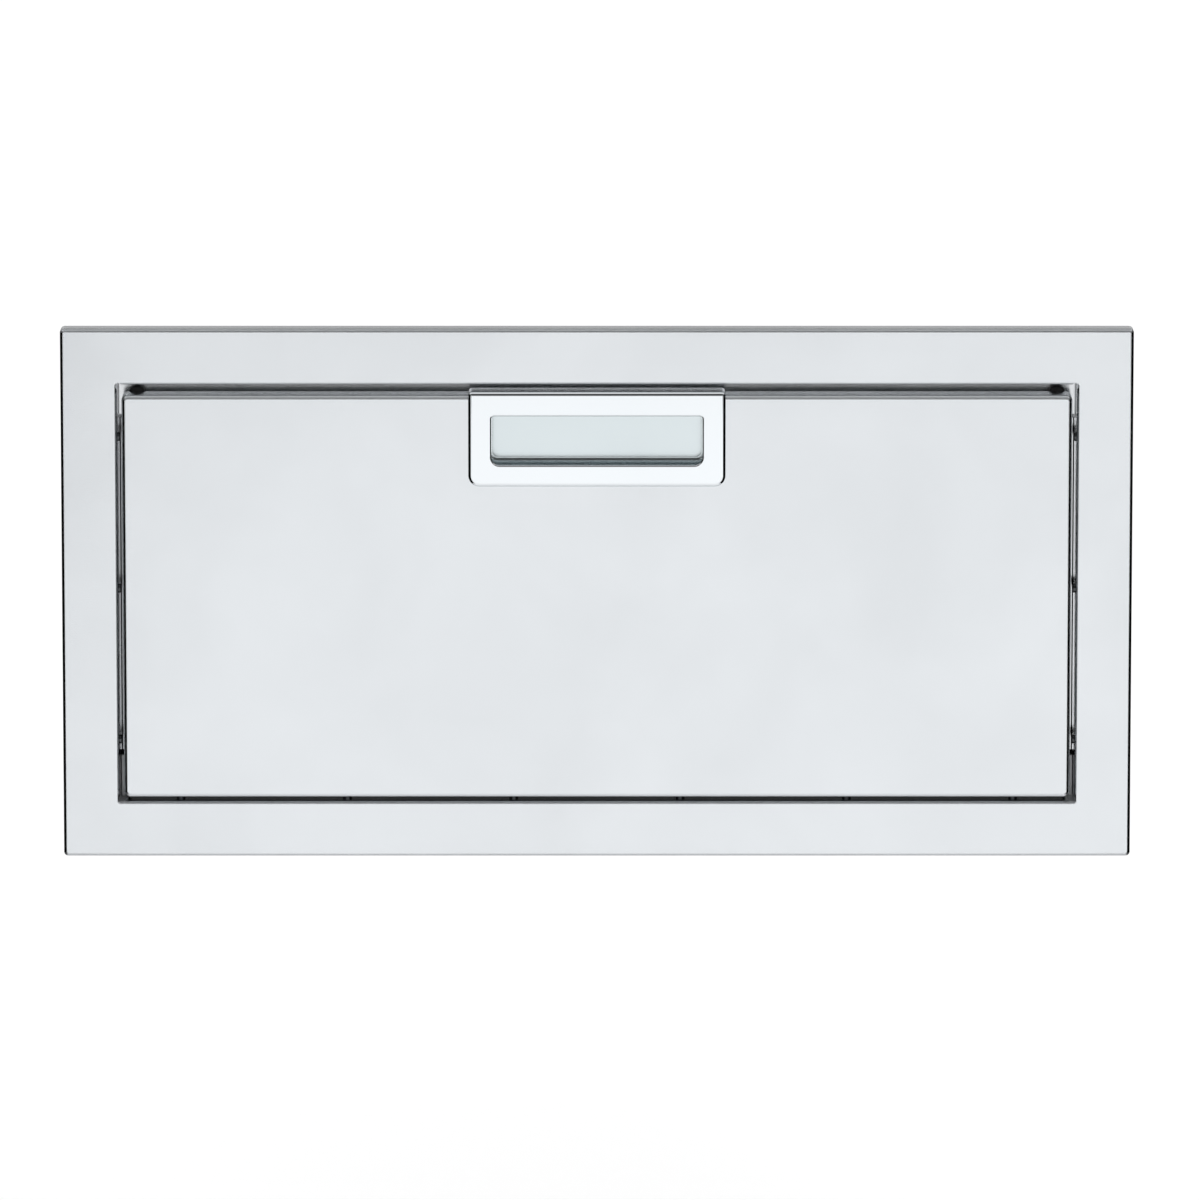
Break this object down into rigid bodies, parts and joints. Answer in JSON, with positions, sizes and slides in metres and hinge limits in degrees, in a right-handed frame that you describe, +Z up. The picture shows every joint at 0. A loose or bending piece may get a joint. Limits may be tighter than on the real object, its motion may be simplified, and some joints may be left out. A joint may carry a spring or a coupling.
{
  "type": "outdoor kitchen drawer unit",
  "caption": "Built-in stainless drawer unit for an outdoor kitchen island: trim frame, sheet housing, full-extension ball slides and a drawer with a folded lip handle over a finger pocket.",
  "frame": {"origin": "centre of the island's cut-out, in the plane of the island's face that the back rim of the trim frame lies on", "axes": "+X to the right seen from the front, +Y back into the island, +Z up; the drawer opens along -Y"},
  "size_m": [0.762, 0.542, 0.381],
  "materials": {
    "brushed_stainless": "horizontal brushed grain",
    "satin_stainless": "plain satin sheet",
    "polished_stainless": "polished",
    "plated_slide_steel": "bright zinc plated",
    "ball_steel": "polished",
    "fastener_steel": "plain stainless",
    "blackened_screw_steel": "blackened",
    "black_rubber": "matte"
  },
  "bodies": {
    "housing": {"trim_frame": "brushed_stainless", "housing_left_side": "satin_stainless", "housing_right_side": "satin_stainless", "housing_bottom": "satin_stainless", "housing_back": "satin_stainless", "housing_rivets": "fastener_steel", "side_frame_screws": "blackened_screw_steel", "bottom_frame_screws": "blackened_screw_steel", "top_frame_screws": "blackened_screw_steel", "front_top_rail": "satin_stainless", "closing_bumpers": "black_rubber", "left_edge_bar": "satin_stainless", "right_edge_bar": "satin_stainless", "edge_bar_screws": "fastener_steel", "left_slide_bracket": "plated_slide_steel", "right_slide_bracket": "plated_slide_steel", "left_cabinet_member": "plated_slide_steel", "right_cabinet_member": "plated_slide_steel", "cabinet_member_screws": "fastener_steel", "bracket_rivets": "fastener_steel", "slide_rear_buffers": "black_rubber"},
    "drawer": {"drawer_front_skin": "brushed_stainless", "drawer_front_liner": "satin_stainless", "handle_plate": "polished_stainless", "handle_pocket": "satin_stainless", "handle_nuts": "fastener_steel", "drawer_bottom": "satin_stainless", "drawer_left_side": "satin_stainless", "drawer_right_side": "satin_stainless", "drawer_back": "satin_stainless", "drawer_rivets": "fastener_steel", "drawer_front_screws": "fastener_steel", "left_drawer_member": "plated_slide_steel", "right_drawer_member": "plated_slide_steel", "drawer_member_rivets": "fastener_steel"},
    "left_middle": {"left_middle_member": "plated_slide_steel"},
    "left_outer_cage": {"left_outer_ball_cage": "plated_slide_steel", "left_outer_balls": "ball_steel"},
    "left_inner_cage": {"left_inner_ball_cage": "plated_slide_steel", "left_inner_balls": "ball_steel"},
    "right_middle": {"right_middle_member": "plated_slide_steel"},
    "right_outer_cage": {"right_outer_ball_cage": "plated_slide_steel", "right_outer_balls": "ball_steel"},
    "right_inner_cage": {"right_inner_ball_cage": "plated_slide_steel", "right_inner_balls": "ball_steel"}
  },
  "joints": [
    {"name": "drawer_slide", "type": "slide", "parent": "housing", "child": "drawer", "axis": [0, -1, 0], "range_m": [0, 0.5]},
    {"name": "left_middle_slide", "type": "slide", "parent": "housing", "child": "left_middle", "axis": [0, -1, 0], "range_m": [0, 0.25]},
    {"name": "left_outer_cage_slide", "type": "slide", "parent": "housing", "child": "left_outer_cage", "axis": [0, -1, 0], "range_m": [0, 0.125]},
    {"name": "left_inner_cage_slide", "type": "slide", "parent": "housing", "child": "left_inner_cage", "axis": [0, -1, 0], "range_m": [0, 0.375]},
    {"name": "right_middle_slide", "type": "slide", "parent": "housing", "child": "right_middle", "axis": [0, -1, 0], "range_m": [0, 0.25]},
    {"name": "right_outer_cage_slide", "type": "slide", "parent": "housing", "child": "right_outer_cage", "axis": [0, -1, 0], "range_m": [0, 0.125]},
    {"name": "right_inner_cage_slide", "type": "slide", "parent": "housing", "child": "right_inner_cage", "axis": [0, -1, 0], "range_m": [0, 0.375]}
  ],
  "couplings": [
    {"joint": "left_middle_slide", "follows": "drawer_slide", "ratio": 0.5},
    {"joint": "left_outer_cage_slide", "follows": "drawer_slide", "ratio": 0.25},
    {"joint": "left_inner_cage_slide", "follows": "drawer_slide", "ratio": 0.75},
    {"joint": "right_middle_slide", "follows": "drawer_slide", "ratio": 0.5},
    {"joint": "right_outer_cage_slide", "follows": "drawer_slide", "ratio": 0.25},
    {"joint": "right_inner_cage_slide", "follows": "drawer_slide", "ratio": 0.75}
  ]
}
